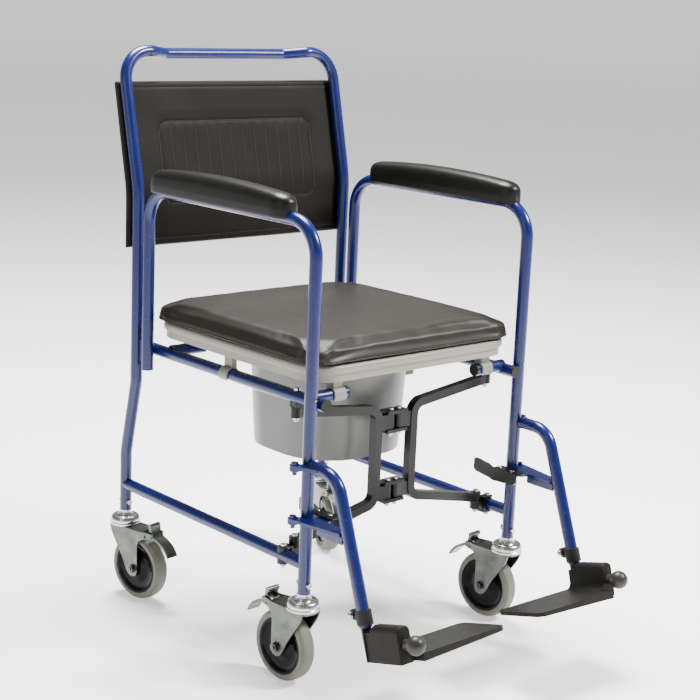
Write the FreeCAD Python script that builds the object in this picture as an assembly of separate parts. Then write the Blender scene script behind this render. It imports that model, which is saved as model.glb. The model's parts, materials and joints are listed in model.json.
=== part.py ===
import FreeCAD, Part
import math
import os

# Wheeled commode chair. Millimetres, front faces -Y, +X on the right seen from the front, +Z up.
# Local drawing frame: x = 0 on the centre plane, y = 0 at the front legs, z = 0 on the floor.
ORIGIN_X = 0.0            # shift from the drawing frame to the middle of the overall box
ORIGIN_Y = 157.12

TUBE_R = 11.0             # outer radius of every frame tube
BORE_R = 9.2              # inner radius of every frame tube
PLUG_R = 9.15             # plugs that slide in the tubes
LEG_X = 247.5             # side frame, left and right of the centre plane
LEG_BOTTOM = 167.0
SEAM = 517.0              # height where arms and backrest plug in
REAR_Y = 505.0            # rear upright
FOOT_Y = 536.0            # cranked lower part of the rear leg
SOCKET_Y = 469.0          # tube that takes the rear end of the arm
RAIL_X = LEG_X - 21.6     # upper rail, welded inside the legs
RAIL_Z = 490.0
LOW_RAIL_Z = 218.0
PLUG_DEPTH = 35.0

STUB_Z = 496.0            # short cross stubs on the upper rails
STUB_FRONT_Y = 22.0
STUB_REAR_Y = 425.0
STUB_END_X = 155.0

ARM_Z = 790.0
ARM_BEND = 60.0
PAD_LENGTH = 387.0
PAD_WIDTH = 52.0
PAD_BOTTOM = 789.0
PAD_TOP = 836.0
PAD_START = {-1: 64.0, 1: 30.0}

BACK_BEND_Z = 783.0
BACK_LEAN = math.radians(13.0)
BACK_BEND_R = 200.0
BACK_TOP_U = 252.5        # length of the leaning part
BACK_SETBACK = 25.0       # middle of the top bar stands this far back
PANEL_HALF_WIDTH = 262.0
PANEL_THICKNESS = 24.0
PANEL_BOTTOM = 676.0
PANEL_TOP_U = 200.0

SEAT_HALF = 237.0
SEAT_FRONT = 0.0
SEAT_REAR = 476.0
SEAT_BOTTOM = 521.0
SEAT_TOP = 550.0
CUSHION_TOP = 591.0
CUSHION_HALF = 244.5
CUSHION_SHIFT = -3.5     # the cushion sits a little off the middle
SEAT_MID_Y = 238.0

PAN_Y = 244.0
PAN_HALF = 134.0
PAN_BOTTOM = 335.0
PAN_RIM_Z = 508.3

FOLD_Y = 62.0             # plane of the black folding linkage
POST_X = 42.5
LINK_X = 9.2

PIN_X = 273.0             # footrest swing axis
PIN_Y = 5.0
PLATE_TOP_Z = 389.0       # undersides of the two hanger plates
PLATE_LOW_Z = 298.0
LATCH_X = 219.5           # latch pivot
LATCH_Y = -26.5
HANGER_X = 252.0
HANGER_TOP_Z = 391.5
HANGER_END_Z = 163.0
COLLAR_BOLT_Z = 177.0
COLLAR_REACH = 20.4        # cross bolt behind the tube axis
HUB_X = 245.0
HUB_Y = -208.0
HUB_Z = 149.0
HUB_TILT = math.radians(16.0)

WHEEL_R = 62.5
TYRE_WIDTH = 30.0
TRAIL = 42.0
CASTOR_TOP = 139.5
# side, y position, direction the wheel trails in degrees from +Y
CASTORS = {
    "front_left": (-1, 0.0, 3.0),
    "front_right": (1, 0.0, 5.0),
    "rear_left": (-1, FOOT_Y, 190.0),
    "rear_right": (1, FOOT_Y, 157.0),
}

V = FreeCAD.Vector
X_DIR = V(1, 0, 0)
Y_DIR = V(0, 1, 0)
Z_DIR = V(0, 0, 1)


def cylinder(start, direction, radius, length):
    return Part.makeCylinder(radius, length, V(*start), direction)


def box(x0, x1, y0, y1, z0, z1):
    low = V(min(x0, x1), min(y0, y1), min(z0, z1))
    return Part.makeBox(abs(x1 - x0), abs(y1 - y0), abs(z1 - z0), low)


def prism(points, extrusion):
    wire = Part.makePolygon(list(points) + [points[0]])
    return Part.Face(wire).extrude(extrusion)


def rounded_plate(half_x, y0, y1, radius, z0, z1):
    plate = box(-half_x, half_x, y0, y1, z0, z1)
    corners = [e for e in plate.Edges if abs(e.tangentAt(e.FirstParameter).z) > 0.99]
    return plate.makeFillet(radius, corners)


def bent_path(points, radii):
    """Straight runs joined by arcs; radii holds one bend radius per inner point."""
    edges = []
    last = points[0]
    for index in range(1, len(points) - 1):
        before = (points[index - 1] - points[index]).normalize()
        after = (points[index + 1] - points[index]).normalize()
        half = before.getAngle(after) / 2.0
        reach = radii[index - 1] / math.tan(half)
        start = points[index] + before * reach
        end = points[index] + after * reach
        middle = (before + after).normalize()
        to_arc = radii[index - 1] / math.sin(half) - radii[index - 1]
        edges.append(Part.makeLine(last, start))
        edges.append(Part.Arc(start, points[index] + middle * to_arc, end).toShape())
        last = end
    edges.append(Part.makeLine(last, points[-1]))
    return Part.Wire(edges)


def sweep_round(path, radius):
    edge = path.Edges[0]
    start = edge.Vertexes[0].Point
    direction = edge.tangentAt(edge.FirstParameter)
    profile = Part.Wire(Part.Circle(start, direction, radius).toShape())
    return path.makePipeShell([profile], True, False)


def sweep_square(path, side_vector, other_vector):
    start = path.Edges[0].Vertexes[0].Point
    corners = [
        start + side_vector + other_vector,
        start + side_vector - other_vector,
        start - side_vector - other_vector,
        start - side_vector + other_vector,
    ]
    profile = Part.makePolygon(corners + [corners[0]])
    return path.makePipeShell([profile], True, False)


def bent_tube(points, radii):
    path = bent_path(points, radii)
    return sweep_round(path, TUBE_R).cut(sweep_round(path, BORE_R))


def straight_tube(start, direction, length):
    outer = cylinder(start, direction, TUBE_R, length)
    return outer.cut(cylinder(start, direction, BORE_R, length))


# ---------------------------------------------------------------- side frames

def castor_bolt_hole(x, y):
    return cylinder((x, y - 20, LEG_BOTTOM + 16), Y_DIR, 3.0, 40)


def front_leg(side):
    x = side * LEG_X
    leg = straight_tube((x, 0, LEG_BOTTOM), Z_DIR, SEAM - LEG_BOTTOM)
    leg = leg.cut(cylinder((x, 0, SEAM - 15), V(0, -1, 0), 2.2, 20))
    return leg.cut(castor_bolt_hole(x, 0))


def rear_leg(side):
    x = side * LEG_X
    points = [
        V(x, REAR_Y, SEAM),
        V(x, REAR_Y, 426),
        V(x, FOOT_Y, 283),
        V(x, FOOT_Y, LEG_BOTTOM),
    ]
    leg = bent_tube(points, [70, 70])
    return leg.cut(castor_bolt_hole(x, FOOT_Y))


def arm_socket(side):
    x = side * LEG_X
    socket = straight_tube((x, SOCKET_Y, 455), Z_DIR, SEAM - 455)
    web = box(x - 2, x + 2, SOCKET_Y + 10, REAR_Y - 10, 466, 508)
    web = web.cut(cylinder((x, REAR_Y, 400), Z_DIR, TUBE_R, 150))
    return socket.fuse(web).removeSplitter()


def upper_rail(side):
    x = side * RAIL_X
    outer = cylinder((x, -12, RAIL_Z), Y_DIR, TUBE_R, 531)
    inner = cylinder((x, -12, RAIL_Z), Y_DIR, BORE_R, 531)
    for y in (STUB_FRONT_Y, STUB_REAR_Y):
        start = (min(side * STUB_END_X, x), y, STUB_Z)
        outer = outer.fuse(cylinder(start, X_DIR, TUBE_R, RAIL_X - STUB_END_X))
        inner = inner.fuse(cylinder(start, X_DIR, BORE_R, RAIL_X - STUB_END_X))
    rail = outer.cut(inner)
    for y in (0, SOCKET_Y, REAR_Y):
        rail = rail.cut(cylinder((side * LEG_X, y, 400), Z_DIR, TUBE_R, 150))
    return rail.cut(cylinder((x, FOLD_Y, 470), Z_DIR, 3.0, 40))


def lower_rail(side):
    x = side * LEG_X
    rail = straight_tube((x, 0, LOW_RAIL_Z), Y_DIR, FOOT_Y)
    for y in (0, FOOT_Y):
        rail = rail.cut(cylinder((x, y, 150), Z_DIR, TUBE_R + 0.01, 120))
    return rail.cut(cylinder((x, FOLD_Y - 4, 200), Z_DIR, 3.0, 40))


def end_plug(point, outward):
    start = V(*point)
    disc = Part.makeCylinder(TUBE_R, 2.5, start, outward)
    return disc.fuse(Part.makeCylinder(BORE_R - 0.1, 8.0, start - outward * 8.0, outward))


def tube_end_plugs():
    plugs = []
    for side in (-1, 1):
        plugs.append(end_plug((side * RAIL_X, -12, RAIL_Z), V(0, -1, 0)))
        plugs.append(end_plug((side * RAIL_X, 519, RAIL_Z), Y_DIR))
        for y in (STUB_FRONT_Y, STUB_REAR_Y):
            plugs.append(end_plug((side * STUB_END_X, y, STUB_Z), V(-side, 0, 0)))
    return Part.makeCompound(plugs)


def snap_buttons():
    buttons = []
    for side in (-1, 1):
        x = side * LEG_X
        shank = cylinder((x, -5.5, SEAM - 15), V(0, -1, 0), 2.15, 6.5)
        head = Part.makeSphere(2.15, V(x, -12, SEAM - 15))
        buttons.append(shank.fuse(head).removeSplitter())
    return Part.makeCompound(buttons)


# ---------------------------------------------------------------- folding linkage

def fold_path(side, shift):
    y = FOLD_Y + shift
    points = [
        V(side * RAIL_X, y, 464),
        V(side * POST_X, y, 441),
        V(side * POST_X, y, 272),
        V(side * 220, y, 234),
    ]
    return bent_path(points, [22, 22])


def square_bar(side, shift, half_depth, half_face):
    path = fold_path(side, shift)
    direction = path.Edges[0].tangentAt(path.Edges[0].FirstParameter)
    across = direction.cross(Y_DIR).normalize()
    return sweep_square(path, Y_DIR * half_depth, across * half_face)


def fold_panel(side):
    panel = square_bar(side, 0, 8, 8)
    panel = panel.fuse(cylinder((side * RAIL_X, FOLD_Y, 454.6), Z_DIR, 10, 17.4))
    panel = panel.fuse(cylinder((side * 220, FOLD_Y, 226.3), Z_DIR, 10, 17.7))
    for low, high in ((402.3, 429.7), (273.3, 299.7)):
        panel = panel.fuse(box(side * LINK_X, side * POST_X, FOLD_Y - 6.5, FOLD_Y + 6.5, low, high))
        panel = panel.fuse(cylinder((side * LINK_X, FOLD_Y, low), Z_DIR, 6.8, high - low))
        panel = panel.cut(cylinder((side * LINK_X, FOLD_Y, low - 1), Z_DIR, 3.05, high - low + 2))
    panel = panel.cut(cylinder((side * RAIL_X, FOLD_Y, 440), Z_DIR, 3.05, 40))
    panel = panel.cut(cylinder((side * 220, FOLD_Y, 215), Z_DIR, 3.05, 40))
    return panel.removeSplitter()


def middle_link(low, high):
    """Bracket of two plates and a rear web that joins the two panels."""
    link = box(-24, 24, FOLD_Y - 10, FOLD_Y + 14, low, low + 6)
    link = link.fuse(box(-24, 24, FOLD_Y - 10, FOLD_Y + 14, high - 6, high))
    link = link.fuse(box(-24, 24, FOLD_Y + 10, FOLD_Y + 14, low, high))
    for x in (-LINK_X, LINK_X):
        link = link.cut(cylinder((x, FOLD_Y, low - 1), Z_DIR, 3.05, high - low + 2))
    return link.removeSplitter()


def middle_links():
    return Part.makeCompound([middle_link(396, 436), middle_link(267, 306)])


def upper_clamp(side):
    x = side * RAIL_X
    block = box(x - 8, x + 8, FOLD_Y - 9, FOLD_Y + 9, 472.2, 485)
    block = block.cut(cylinder((x, FOLD_Y - 20, RAIL_Z), Y_DIR, TUBE_R + 0.02, 40))
    return block.cut(cylinder((x, FOLD_Y, 465), Z_DIR, 3.0, 30))


def upper_clamps():
    return Part.makeCompound([upper_clamp(-1), upper_clamp(1)])


def lower_clamp(side):
    """Two round saddles on the rail, joined on the inner side, with a lug for the panel's pivot."""
    x = side * LEG_X
    y = FOLD_Y - 4
    clamp = cylinder((x, y, 203), Z_DIR, 10, 30)
    clamp = clamp.fuse(box(side * 232, x, y - 9, y + 9, 229.5, 233))
    clamp = clamp.fuse(box(side * 232, x, y - 9, y + 9, 203, 206.5))
    clamp = clamp.fuse(box(side * 232, side * 236, y - 9, y + 9, 203, 233))
    clamp = clamp.fuse(box(side * 220, side * 234, FOLD_Y - 10, FOLD_Y + 10, 212, 226))
    clamp = clamp.fuse(cylinder((side * 220, FOLD_Y, 212), Z_DIR, 10, 14))
    clamp = clamp.cut(cylinder((x, FOLD_Y - 30, LOW_RAIL_Z), Y_DIR, TUBE_R + 0.02, 60))
    clamp = clamp.cut(cylinder((x, y, 195), Z_DIR, 3.0, 50))
    return clamp.cut(cylinder((side * 220, FOLD_Y, 200), Z_DIR, 3.0, 50)).removeSplitter()


def lower_clamps():
    return Part.makeCompound([lower_clamp(-1), lower_clamp(1)])


def vertical_bolt(x, y, low, high):
    """Bolt with its head at the top and a nut below; low and high bound the clamped stack."""
    bolt = cylinder((x, y, low - 8), Z_DIR, 2.95, high - low + 8)
    bolt = bolt.fuse(cylinder((x, y, high), Z_DIR, 5.5, 4))
    return bolt.fuse(cylinder((x, y, low - 5), Z_DIR, 5.5, 5)).removeSplitter()


def castor_bolt(x, y):
    z = LEG_BOTTOM + 16
    bolt = cylinder((x, y - 12, z), Y_DIR, 2.95, 26)
    bolt = bolt.fuse(cylinder((x, y - 15, z), Y_DIR, 5.0, 4))
    bolt = bolt.fuse(cylinder((x, y + 11, z), Y_DIR, 5.0, 4))
    return bolt.cut(cylinder((x, y, 150), Z_DIR, TUBE_R, 60)).fuse(
        cylinder((x, y - 12, z), Y_DIR, 2.95, 26)).removeSplitter()


def frame_bolts():
    bolts = []
    for side in (-1, 1):
        bolts.append(vertical_bolt(side * RAIL_X, FOLD_Y, 454.6, 501))
        bolts.append(vertical_bolt(side * 220, FOLD_Y, 212, 244))
        bolts.append(vertical_bolt(side * LEG_X, FOLD_Y - 4, 203, 233))
        bolts.append(vertical_bolt(side * LINK_X, FOLD_Y, 396, 436))
        bolts.append(vertical_bolt(side * LINK_X, FOLD_Y, 267, 306))
        bolts.append(castor_bolt(side * LEG_X, 0))
        bolts.append(castor_bolt(side * LEG_X, FOOT_Y))
    return Part.makeCompound(bolts)


# ---------------------------------------------------------------- castors

def castor_frame(name):
    """Placement from castor axes (+X across, +Y trailing, +Z up) to the chair."""
    side, y, angle = CASTORS[name]
    return FreeCAD.Placement(V(side * LEG_X, y, 0), FreeCAD.Rotation(Z_DIR, angle))


def castor_head(name):
    """Bearing cup with a rolled bead, a neck under the leg and a stem inside it."""
    side, y, _ = CASTORS[name]
    x = side * LEG_X
    bead = Part.BSplineCurve()
    bead.interpolate([V(radius, 0, z) for radius, z in (
        (27.4, 144.4), (28.2, 147.0), (27.6, 151.0), (25.6, 154.8), (22.8, 156.6), (20.2, 156.2),
        (18.0, 154.9), (15.6, 155.8), (13.4, 158.8), (12.0, 162.8), (11.6, 167.0))])
    below = [
        V(11.6, 0, 167), V(9.1, 0, 167), V(9.1, 0, 205), V(0, 0, 205), V(0, 0, 160), V(5.05, 0, 160),
        V(5.05, 0, 140), V(28.4, 0, 140), V(28.8, 0, 141.5), V(28.4, 0, 143.4), V(27.4, 0, 144.4),
    ]
    wire = Part.Wire([bead.toShape()] + Part.makePolygon(below).Edges)
    head = Part.Face(wire).revolve(V(0, 0, 0), Z_DIR, 360)
    head.translate(V(x, y, 0))
    return head.cut(castor_bolt_hole(x, y))


def castor_heads():
    return Part.makeCompound([castor_head(name) for name in CASTORS])


def axle_nut(x, outward):
    """Washer, hexagon nut and axle end on one side of the fork."""
    centre = V(x, TRAIL, WHEEL_R)
    direction = V(outward, 0, 0)
    nut = Part.makeCylinder(9.5, 1.5, centre, direction)
    corners = []
    for step in range(6):
        turn = math.radians(60 * step + 10)
        corners.append(centre + V(0, 8.0 * math.cos(turn), 8.0 * math.sin(turn)))
    nut = nut.fuse(prism(corners, direction * 6.5))
    return nut.fuse(Part.makeCylinder(4.0, 8.5, centre, direction))


def castor_fork(name):
    top = [(-21.5, -14), (-15, -24), (0, -27), (15, -24), (21.5, -14), (21.5, 56), (17, 74), (17, 86),
           (12, 89), (-12, 89), (-17, 86), (-17, 74), (-21.5, 56)]
    fork = prism([V(x, y, 136.3) for x, y in top], V(0, 0, CASTOR_TOP - 136.3))
    fork = fork.fuse(cylinder((0, 0, 136.3), Z_DIR, 5.0, 21.2))
    front = Part.BSplineCurve()
    front.interpolate([V(0, y, z) for y, z in (
        (-20, 139.5), (-17, 128), (-7, 110), (7, 90), (17, 74), (24, 60), (32, 50), (42, 46.5))])
    rest = [V(0, 42, 46.5), V(0, 50, 49), V(0, 54, 56), V(0, 54, 108), V(0, 57, 119), V(0, 65, 125),
            V(0, 80, 127), V(0, 88, 131), V(0, 89, 135), V(0, 86, 139.5), V(0, -20, 139.5)]
    cheek = Part.Face(Part.Wire([front.toShape()] + Part.makePolygon(rest).Edges))
    trim = prism([V(x, y, 0) for x, y in top], V(0, 0, 150))
    inner = [(18.5, 40), (18.5, 56), (14, 74), (14, 86), (-14, 86), (-14, 74), (-18.5, 56), (-18.5, 40)]
    for x in (-21.5, 18.5):
        plate = cheek.extrude(V(3, 0, 0))
        plate.translate(V(x, 0, 0))
        fork = fork.fuse(plate.common(box(-22, 22, -30, 46, 0, 150)))
    for side in (-1, 1):
        rear = cheek.extrude(V(side * 44, 0, 0))
        shell = trim.common(box(-22, 22, 44, 90, 0, 150))
        shell = shell.cut(prism([V(x, y, 0) for x, y in inner], V(0, 0, 150)))
        fork = fork.fuse(shell.common(rear))
    fork = fork.cut(box(-13.6, 13.6, 62, 95, 110, 145))
    fork = fork.fuse(cylinder((-24, TRAIL, WHEEL_R), X_DIR, 5.0, 48))
    fork = fork.fuse([axle_nut(-21.5, -1), axle_nut(21.5, 1)])
    fork = fork.cut(cylinder((-30, 72, 132), X_DIR, 3.05, 60))
    fork = fork.removeSplitter()
    fork.Placement = castor_frame(name)
    return fork


def castor_hub(name):
    profile = [
        V(5.05, 0, -17), V(14, 0, -17), V(16, 0, -13), V(30, 0, -8), V(42, 0, -10), V(46, 0, -13.5),
        V(50, 0, -13.5), V(50, 0, 13.5), V(46, 0, 13.5), V(42, 0, 10), V(30, 0, 8), V(16, 0, 13),
        V(14, 0, 17), V(5.05, 0, 17),
    ]
    hub = Part.Face(Part.makePolygon(profile + [profile[0]])).revolve(V(0, 0, 0), Z_DIR, 360)
    hub.Placement = castor_frame(name).multiply(
        FreeCAD.Placement(V(0, TRAIL, WHEEL_R), FreeCAD.Rotation(Y_DIR, 90)))
    return hub


def castor_tyre(name):
    half = TYRE_WIDTH / 2.0
    side_line = [(50, 1.2), (51.2, 0.2), (53, 0), (56.6, 0), (57.8, 0.5), (58.4, 1.6), (58.6, 2.6),
                 (59.6, 2.8), (60.8, 3.8), (61.7, 5.4), (62.2, 7.4), (WHEEL_R, 10)]
    profile = [V(radius, 0, -half + inset) for radius, inset in side_line]
    profile += [V(radius, 0, half - inset) for radius, inset in reversed(side_line)]
    tyre = Part.Face(Part.makePolygon(profile + [profile[0]])).revolve(V(0, 0, 0), Z_DIR, 360)
    tyre.Placement = castor_frame(name).multiply(
        FreeCAD.Placement(V(0, TRAIL, WHEEL_R), FreeCAD.Rotation(Y_DIR, 90)))
    return tyre


def brake_pedal(name):
    """Pressed lever: a rolled tab that stands out of the fork and a curved toe behind it."""
    sheet = [
        (76.6, 152), (81.6, 152), (82.6, 146), (85, 138), (91, 132.4), (103, 127.5),
        (115, 120), (124, 110), (128.6, 101.5), (125.4, 100), (119.5, 108.5), (111.5, 116.5), (101, 123),
        (90, 127.5), (82.4, 131.5), (78.2, 138), (77, 146),
    ]
    pedal = prism([V(-12.5, y, z) for y, z in sheet], V(25, 0, 0))
    pedal = pedal.fuse(cylinder((-12.5, 78, 152), X_DIR, 4.6, 25))
    ear = [(67, 129), (68, 137), (77, 142), (84, 139), (92, 131.5), (90, 127.8), (78, 126.6), (70, 126.4)]
    for x in (-12.5, 10.0):
        pedal = pedal.fuse(prism([V(x, y, z) for y, z in ear], V(2.5, 0, 0)))
    pedal = pedal.fuse(cylinder((-16.2, 72, 132), X_DIR, 2.98, 32.4))
    pedal = pedal.removeSplitter()
    pedal.Placement = castor_frame(name)
    return pedal


# ---------------------------------------------------------------- arms

def arm_hoop(side):
    x = side * LEG_X
    points = [V(x, 0, SEAM), V(x, 0, ARM_Z), V(x, SOCKET_Y, ARM_Z), V(x, SOCKET_Y, SEAM)]
    hoop = bent_tube(points, [ARM_BEND, ARM_BEND])
    for y in (0, SOCKET_Y):
        hoop = hoop.fuse(cylinder((x, y, SEAM + 20), V(0, 0, -1), PLUG_R, 20 + PLUG_DEPTH))
        hoop = hoop.fuse(cylinder((x, y, SEAM), Z_DIR, BORE_R, 20))
    slot = box(x - 2.6, x + 2.6, -10, -4, SEAM - PLUG_DEPTH - 1, SEAM - 12)
    return hoop.cut(slot).removeSplitter()


def arm_pad(side):
    x = side * LEG_X
    start = PAD_START[side]
    half = PAD_WIDTH / 2.0
    pad = box(x - half, x + half, start, start + PAD_LENGTH, PAD_BOTTOM, PAD_TOP)
    uprights = [e for e in pad.Edges if abs(e.tangentAt(e.FirstParameter).z) > 0.99]
    pad = pad.makeFillet(18, uprights)
    rim = [e for e in pad.Edges if e.BoundBox.ZMin > PAD_TOP - 0.01]
    pad = pad.makeFillet(14, rim)
    return pad.cut([cylinder((x, -20, ARM_Z), Y_DIR, TUBE_R, 520), arm_hoop(side)])


# ---------------------------------------------------------------- backrest

def lean_point(u, offset):
    """y and z of a point u up the leaning part, offset to the rear of the tube axis."""
    y = REAR_Y + u * math.sin(BACK_LEAN) + offset * math.cos(BACK_LEAN)
    z = BACK_BEND_Z + u * math.cos(BACK_LEAN) - offset * math.sin(BACK_LEAN)
    return y, z


def backrest_hoop():
    points = []
    for side in (-1, 1):
        run = [V(side * LEG_X, REAR_Y, SEAM), V(side * LEG_X, REAR_Y, BACK_BEND_Z)]
        for x, offset in ((LEG_X, 0), (184, 0), (142, BACK_SETBACK)):
            y, z = lean_point(BACK_TOP_U, offset)
            run.append(V(side * x, y, z))
        points += run if side < 0 else list(reversed(run))
    radii = [BACK_BEND_R, 55, 25, 25, 25, 25, 55, BACK_BEND_R]
    hoop = bent_tube(points, radii)
    for side in (-1, 1):
        x = side * LEG_X
        hoop = hoop.fuse(cylinder((x, REAR_Y, SEAM - PLUG_DEPTH), Z_DIR, PLUG_R, PLUG_DEPTH + 20))
        hoop = hoop.fuse(cylinder((x, REAR_Y, SEAM), Z_DIR, BORE_R, 20))
    return hoop.removeSplitter()


def panel_arc_point(radius, angle):
    tangent = BACK_BEND_R * math.tan(BACK_LEAN / 2.0)
    y = REAR_Y + BACK_BEND_R - radius * math.cos(angle)
    return V(-PANEL_HALF_WIDTH, y, BACK_BEND_Z - tangent + radius * math.sin(angle))


def backrest_panel():
    edges = []
    near = BACK_BEND_R - TUBE_R
    far = near - PANEL_THICKNESS
    ends = {}
    for radius in (near, far):
        low = V(-PANEL_HALF_WIDTH, REAR_Y + BACK_BEND_R - radius, PANEL_BOTTOM)
        y, z = lean_point(PANEL_TOP_U, BACK_BEND_R - radius)
        high = V(-PANEL_HALF_WIDTH, y, z)
        start = panel_arc_point(radius, 0)
        middle = panel_arc_point(radius, BACK_LEAN / 2.0)
        end = panel_arc_point(radius, BACK_LEAN)
        edges.append(Part.makeLine(low, start))
        edges.append(Part.Arc(start, middle, end).toShape())
        edges.append(Part.makeLine(end, high))
        ends[radius] = (low, high)
    edges.append(Part.makeLine(ends[near][0], ends[far][0]))
    edges.append(Part.makeLine(ends[near][1], ends[far][1]))
    wire = Part.Wire(Part.__sortEdges__(edges))
    return Part.Face(wire).extrude(V(2 * PANEL_HALF_WIDTH, 0, 0))


# ---------------------------------------------------------------- seat and pan

def aperture(z0, z1):
    middle = box(-105, 105, SEAT_MID_Y - 50, SEAT_MID_Y + 60, z0, z1)
    front = cylinder((0, SEAT_MID_Y - 50, z0), Z_DIR, 105, z1 - z0)
    rear = cylinder((0, SEAT_MID_Y + 60, z0), Z_DIR, 105, z1 - z0)
    return middle.fuse([front, rear])


def seat_ring():
    body = rounded_plate(SEAT_HALF, SEAT_FRONT, SEAT_REAR, 62, SEAT_TOP - 16, SEAT_TOP)
    rim = [e for e in body.Edges if e.BoundBox.ZMin > SEAT_TOP - 0.01]
    body = body.makeFillet(7, rim)
    lip = [e for e in body.Edges if e.BoundBox.ZMax < SEAT_TOP - 15.9]
    body = body.makeFillet(5, lip)
    skirt = rounded_plate(SEAT_HALF - 5, SEAT_FRONT + 5, SEAT_REAR - 5, 57, SEAT_BOTTOM, SEAT_TOP - 10)
    body = body.fuse(skirt)
    hollow = rounded_plate(SEAT_HALF - 9, SEAT_FRONT + 9, SEAT_REAR - 9, 53, SEAT_BOTTOM - 1, SEAT_TOP - 7)
    body = body.cut(hollow)
    body = body.cut(aperture(SEAT_TOP - 20, SEAT_TOP + 5))
    for side in (-1, 1):
        web = box(side * 149, side * 152, 90, 440, 504, SEAT_TOP - 6)
        foot = box(side * 137, side * 152, 90, 440, 504, 508)
        body = body.fuse([web, foot])
    return body.removeSplitter()


def rail_clip(side):
    x = side * RAIL_X
    clip = cylinder((x, 239, RAIL_Z), Y_DIR, TUBE_R + 3.6, 22)
    clip = clip.fuse(box(x - side * 9, x + side * 2, 239, 261, RAIL_Z, SEAT_TOP - 7))
    clip = clip.cut(cylinder((x, 230, RAIL_Z), Y_DIR, TUBE_R + 0.3, 40))
    clip = clip.cut(box(side * (SEAT_HALF - 9), side * SEAT_HALF, 230, 270, 503, SEAT_TOP))
    return clip.cut(box(x - TUBE_R - 0.3, x + TUBE_R + 0.3, 230, 270, 470, RAIL_Z)).removeSplitter()


def stub_clip(side):
    y = STUB_FRONT_Y
    start = min(side * 163, side * 188)
    clip = cylinder((start, y, STUB_Z), X_DIR, TUBE_R + 3.6, 25)
    clip = clip.fuse(box(side * 166, side * 186, y - 6, y + 12, STUB_Z, SEAT_TOP - 7))
    clip = clip.cut(cylinder((-200, y, STUB_Z), X_DIR, TUBE_R + 0.3, 400))
    clip = clip.cut(box(-200, 200, 0, SEAT_FRONT + 9, 503, SEAT_TOP))
    gap = box(-200, 200, y - TUBE_R - 0.3, y + TUBE_R + 0.3, 470, STUB_Z)
    return clip.cut(gap).removeSplitter()


def seat_clips():
    clips = []
    for side in (-1, 1):
        clips.append(rail_clip(side))
        clips.append(stub_clip(side))
    return Part.makeCompound(clips)


def seat_cushion():
    cushion = rounded_plate(CUSHION_HALF, SEAT_FRONT - 3, SEAT_REAR - 2, 50, SEAT_TOP, CUSHION_TOP)
    cushion.translate(V(CUSHION_SHIFT, 0, 0))
    rim = [e for e in cushion.Edges if e.BoundBox.ZMin > CUSHION_TOP - 0.01]
    return cushion.makeFillet(14, rim)


def pan_section(z, half, corner):
    plate = rounded_plate(half, PAN_Y - half, PAN_Y + half, corner, z, z + 1)
    bottom = min(plate.Faces, key=lambda face: face.CenterOfMass.z)
    return bottom.OuterWire


def pan():
    taper = 10.0
    outer = Part.makeLoft([
        pan_section(PAN_BOTTOM, PAN_HALF - taper, 100),
        pan_section(PAN_RIM_Z, PAN_HALF, 108),
    ], True, True)
    inner = Part.makeLoft([
        pan_section(PAN_BOTTOM + 3, PAN_HALF - taper - 3, 97),
        pan_section(PAN_RIM_Z + 4, PAN_HALF - 3, 105),
    ], True, True)
    rim = rounded_plate(146, PAN_Y - 146, PAN_Y + 146, 112, PAN_RIM_Z, PAN_RIM_Z + 3)
    lug = box(118, 136.4, PAN_Y - 84, PAN_Y - 64, 462, PAN_RIM_Z)
    lug = lug.cut(box(126, 145, PAN_Y - 79, PAN_Y - 69, 486, 500))
    return outer.fuse([rim, lug]).cut(inner).removeSplitter()


# ---------------------------------------------------------------- footrests

def hinge_lug(side, z):
    x = side * PIN_X
    lug = cylinder((x, PIN_Y, z), Z_DIR, 9, 5)
    lug = lug.fuse(box(side * LEG_X, x, PIN_Y - 9, PIN_Y + 9, z, z + 5))
    lug = lug.cut(cylinder((side * LEG_X, 0, z - 1), Z_DIR, TUBE_R, 7))
    lug = lug.cut(cylinder((x, PIN_Y, z - 1), Z_DIR, 4.05, 7))
    inner_half = box(side * 200, side * LEG_X, -20, 30, z - 1, z + 6)
    return lug.cut(inner_half)


def footrest_lugs():
    lugs = []
    for side in (-1, 1):
        for z in (PLATE_TOP_Z - 5.3, PLATE_LOW_Z - 5.3):
            lugs.append(hinge_lug(side, z))
    return Part.makeCompound(lugs)


def hanger_plate(side, z, corners):
    plate = prism([V(side * x, y, z) for x, y in corners], V(0, 0, 5))
    plate = plate.fuse(cylinder((side * PIN_X, PIN_Y, z), Z_DIR, 9, 5))
    return plate.cut(cylinder((side * LEG_X, 0, z - 1), Z_DIR, TUBE_R + 1.2, 7))


def hanger_line_y(z):
    return -111.0 - 0.369 * (300.0 - z)


def hanger_strut(side):
    """Open channel with rolled edges from the lower plate to the tube."""
    x = side * HANGER_X
    strut = box(x - 11, x + 11, -107, -42, PLATE_LOW_Z - 12, PLATE_LOW_Z + 5)
    upper = [e for e in strut.Edges if e.BoundBox.ZMin > PLATE_LOW_Z + 4.9 and e.BoundBox.YLength > 20]
    strut = strut.makeFillet(6, upper)
    ends = [e for e in strut.Edges if e.BoundBox.YMin > -42.1 and e.BoundBox.ZLength > 8]
    strut = strut.makeFillet(4, ends)
    return strut.cut(box(x - 8, x + 8, -110, -46, PLATE_LOW_Z - 13, PLATE_LOW_Z + 1.5))


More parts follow.
